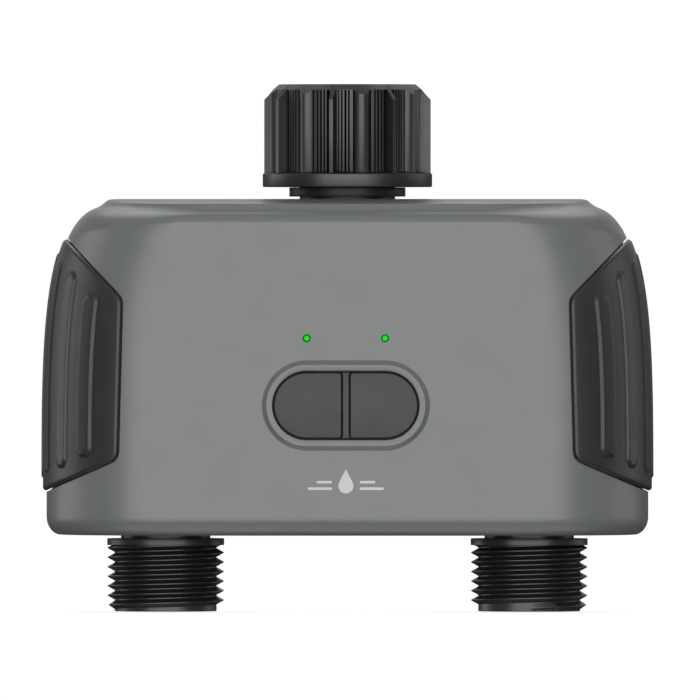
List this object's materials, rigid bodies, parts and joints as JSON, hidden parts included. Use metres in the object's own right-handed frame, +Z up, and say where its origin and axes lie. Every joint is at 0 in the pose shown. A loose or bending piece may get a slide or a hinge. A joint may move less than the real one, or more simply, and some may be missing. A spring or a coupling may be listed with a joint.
{
  "type": "drip irrigation timer",
  "caption": "Two-outlet battery water timer: grey capsule housing with rubber side grips, a pill keypad, two green indicators, a finned tap swivel nut and threaded hose outlets.",
  "frame": {"origin": "centre of the footprint, on the plane of the two outlets' lower ends", "axes": "+Z up along the inlet, the keypad faces -Y, +X runs from the left outlet to the right one as seen from the front"},
  "size_m": [0.1422, 0.064, 0.1225],
  "materials": {
    "housing_grey": "fine satin texture",
    "grip_black": "soft satin",
    "button_grey": "matt",
    "indicator_green": "clear, lit green",
    "fitting_black": "satin moulded",
    "seal_rubber": "matt",
    "filter_mesh": "woven mesh",
    "stainless_steel": "satin",
    "nickel_contact": "plated",
    "inner_plastic": "moulded, glass filled",
    "coil_winding": "lacquered copper wire",
    "cell_sleeve": "printed sleeve left plain",
    "circuit_board": "solder mask",
    "component_black": "moulded",
    "wire_insulation": "smooth"
  },
  "bodies": {
    "timer": {"front_housing": "housing_grey", "rear_housing": "housing_grey", "left_grip": "grip_black", "right_grip": "grip_black", "keypad_bezel": "button_grey", "left_light_pipe": "indicator_green", "right_light_pipe": "indicator_green", "left_led": "indicator_green", "right_led": "indicator_green", "inlet_neck": "fitting_black", "swivel_collar": "fitting_black", "left_outlet": "fitting_black", "right_outlet": "fitting_black", "inlet_washer": "seal_rubber", "neck_o_ring": "seal_rubber", "left_outlet_o_ring": "seal_rubber", "right_outlet_o_ring": "seal_rubber", "left_diaphragm": "seal_rubber", "right_diaphragm": "seal_rubber", "battery_door_seal": "seal_rubber", "keypad_membrane": "seal_rubber", "inlet_filter": "filter_mesh", "neck_clip": "stainless_steel", "left_plunger_spring": "stainless_steel", "right_plunger_spring": "stainless_steel", "upper_left_case_screw": "stainless_steel", "upper_right_case_screw": "stainless_steel", "lower_left_case_screw": "stainless_steel", "lower_right_case_screw": "stainless_steel", "left_board_screw": "stainless_steel", "right_board_screw": "stainless_steel", "lower_contact": "nickel_contact", "upper_contact": "nickel_contact", "radio_module": "nickel_contact", "manifold": "inner_plastic", "left_bonnet": "inner_plastic", "right_bonnet": "inner_plastic", "battery_tray": "inner_plastic", "left_coil": "coil_winding", "right_coil": "coil_winding", "battery_cell_1": "cell_sleeve", "battery_cell_2": "cell_sleeve", "battery_cell_3": "cell_sleeve", "battery_cell_4": "cell_sleeve", "main_board": "circuit_board", "storage_capacitor": "component_black", "left_switch": "component_black", "right_switch": "component_black", "left_solenoid_cable": "wire_insulation", "right_solenoid_cable": "wire_insulation", "battery_cable": "wire_insulation"},
    "inlet_nut": {"inlet_nut": "fitting_black"},
    "left_button": {"left_button": "button_grey"},
    "right_button": {"right_button": "button_grey"},
    "battery_door": {"battery_door": "housing_grey"},
    "left_door_screw": {"left_door_screw": "fitting_black"},
    "right_door_screw": {"right_door_screw": "fitting_black"},
    "left_plunger": {"left_plunger": "stainless_steel"},
    "right_plunger": {"right_plunger": "stainless_steel"}
  },
  "joints": [
    {"name": "inlet_nut_swivel", "type": "hinge", "parent": "timer", "child": "inlet_nut", "pos_m": [0, 0, 0.11], "axis": [0, 0, 1], "continuous": true},
    {"name": "left_button_press", "type": "slide", "parent": "timer", "child": "left_button", "axis": [0, 1, 0], "range_m": [0, 0.0006], "stiffness_N_per_m": 1500, "springref_m": -0.0003},
    {"name": "right_button_press", "type": "slide", "parent": "timer", "child": "right_button", "axis": [0, 1, 0], "range_m": [0, 0.0006], "stiffness_N_per_m": 1500, "springref_m": -0.0003},
    {"name": "battery_door_lift", "type": "slide", "parent": "timer", "child": "battery_door", "axis": [0, 1, 0], "range_m": [0, 0.03]},
    {"name": "left_door_screw_turn", "type": "hinge", "parent": "battery_door", "child": "left_door_screw", "pos_m": [-0.027, 0.03, 0.0832], "axis": [0, 1, 0], "range_deg": [0, 90]},
    {"name": "right_door_screw_turn", "type": "hinge", "parent": "battery_door", "child": "right_door_screw", "pos_m": [0.027, 0.03, 0.0832], "axis": [0, 1, 0], "range_deg": [0, 90]},
    {"name": "left_plunger_slide", "type": "slide", "parent": "timer", "child": "left_plunger", "axis": [0, -1, 0], "range_m": [0, 0.0015], "stiffness_N_per_m": 400, "springref_m": -0.001, "deforming": ["left_plunger_spring"]},
    {"name": "right_plunger_slide", "type": "slide", "parent": "timer", "child": "right_plunger", "axis": [0, -1, 0], "range_m": [0, 0.0015], "stiffness_N_per_m": 400, "springref_m": -0.001, "deforming": ["right_plunger_spring"]}
  ]
}
